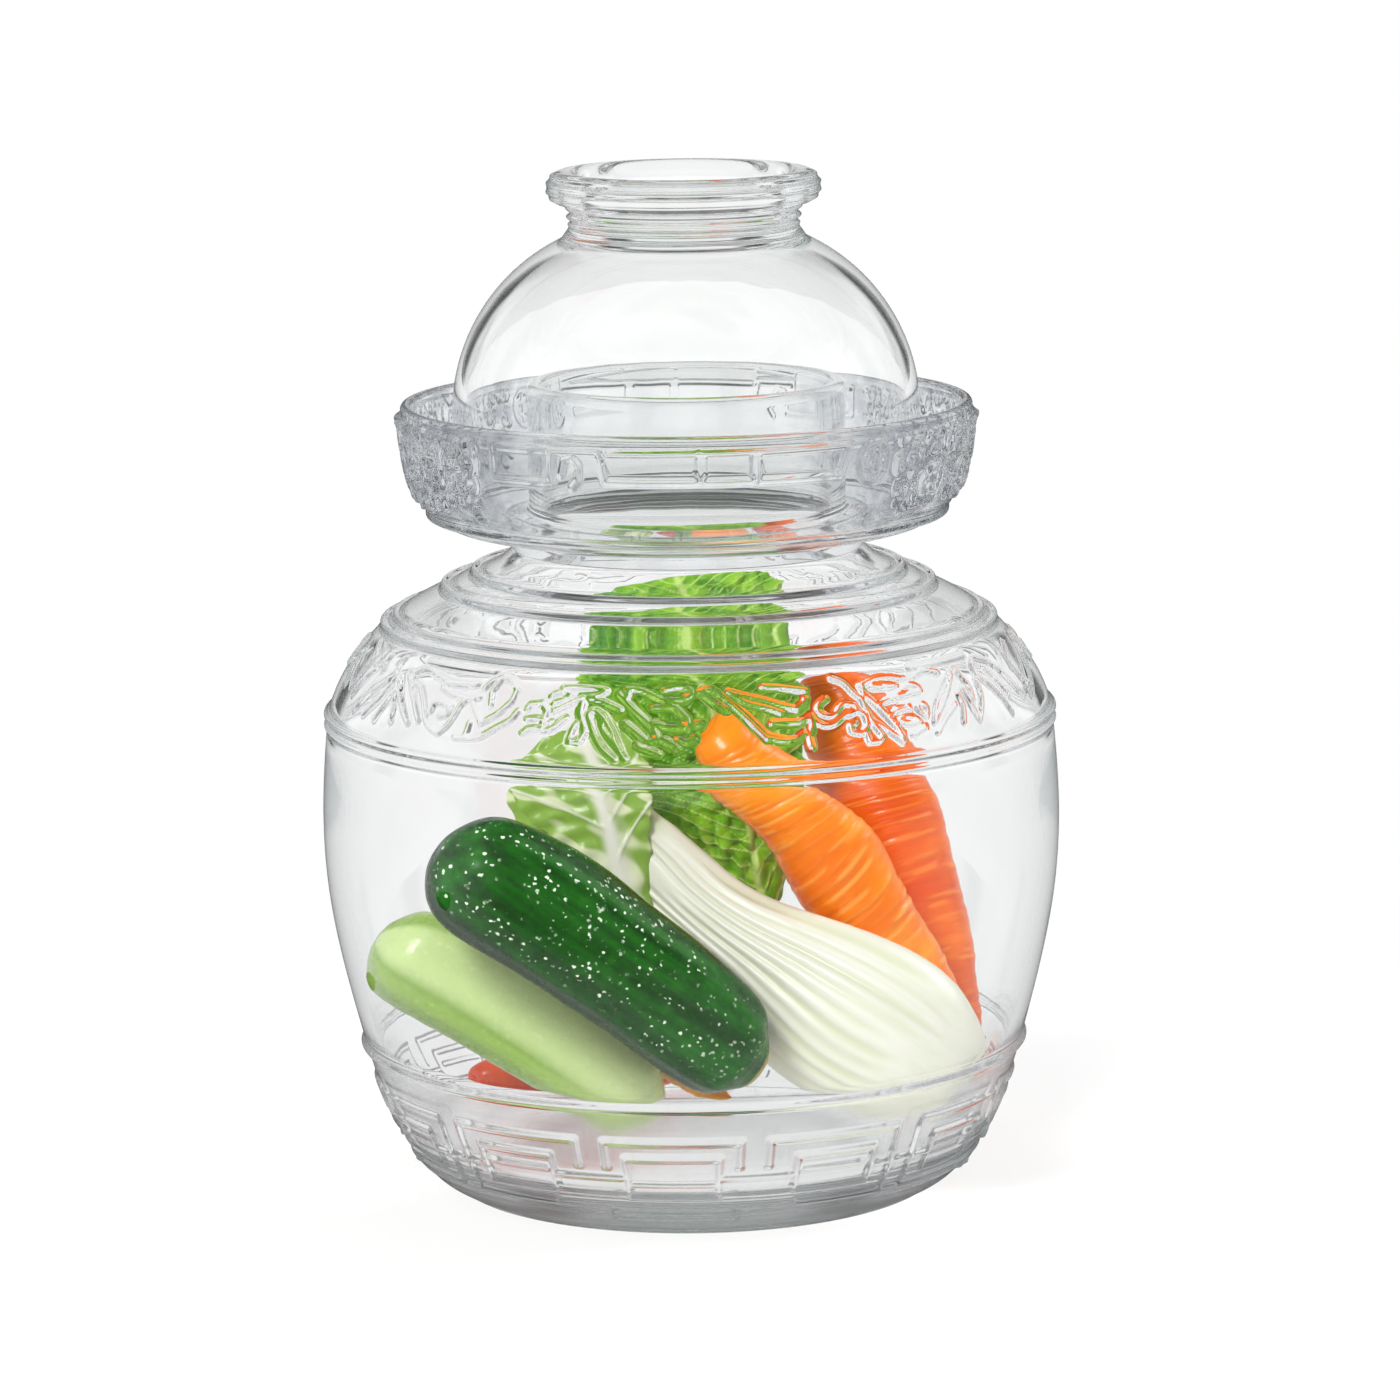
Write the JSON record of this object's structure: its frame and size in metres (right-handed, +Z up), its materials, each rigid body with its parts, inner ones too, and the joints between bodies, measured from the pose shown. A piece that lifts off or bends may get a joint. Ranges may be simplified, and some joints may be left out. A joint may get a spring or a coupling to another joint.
{
  "type": "water seal pickle jar",
  "caption": "Clear glass pickle jar with a water trough round its neck, a domed glass lid standing in the trough, and loose vegetables inside.",
  "frame": {"origin": "centre of the foot ring, on the surface that the jar stands on", "axes": "+Z up along the jar's axis, +X right and -Y towards the viewer of the vegetables"},
  "size_m": [0.218, 0.218, 0.3014],
  "materials": {
    "clear_glass": "clear colourless pressed glass, glossy",
    "pale_cucumber": "smooth pale green skin with lighter stripes",
    "dark_cucumber": "waxy dark green skin with small bumps",
    "red_carrot": "fresh red-orange root",
    "yellow_carrot": "fresh yellow-orange root",
    "cabbage": "white ribbed stalks with pale green leaf",
    "front_carrot": "orange root with fine rings",
    "rear_carrot": "orange root with fine rings",
    "leafy_green": "crinkled bright green leaf with pale veins"
  },
  "bodies": {
    "jar": {"glass_jar": "clear_glass", "pale_cucumber": "pale_cucumber", "dark_cucumber": "dark_cucumber", "red_carrot": "red_carrot", "yellow_carrot": "yellow_carrot", "cabbage": "cabbage", "front_carrot": "front_carrot", "rear_carrot": "rear_carrot", "leafy_green": "leafy_green"},
    "lid": {"glass_lid": "clear_glass"}
  },
  "joints": [
    {"name": "lid_lift", "type": "slide", "parent": "jar", "child": "lid", "axis": [0, 0, 1], "range_m": [0, 0.12]}
  ]
}
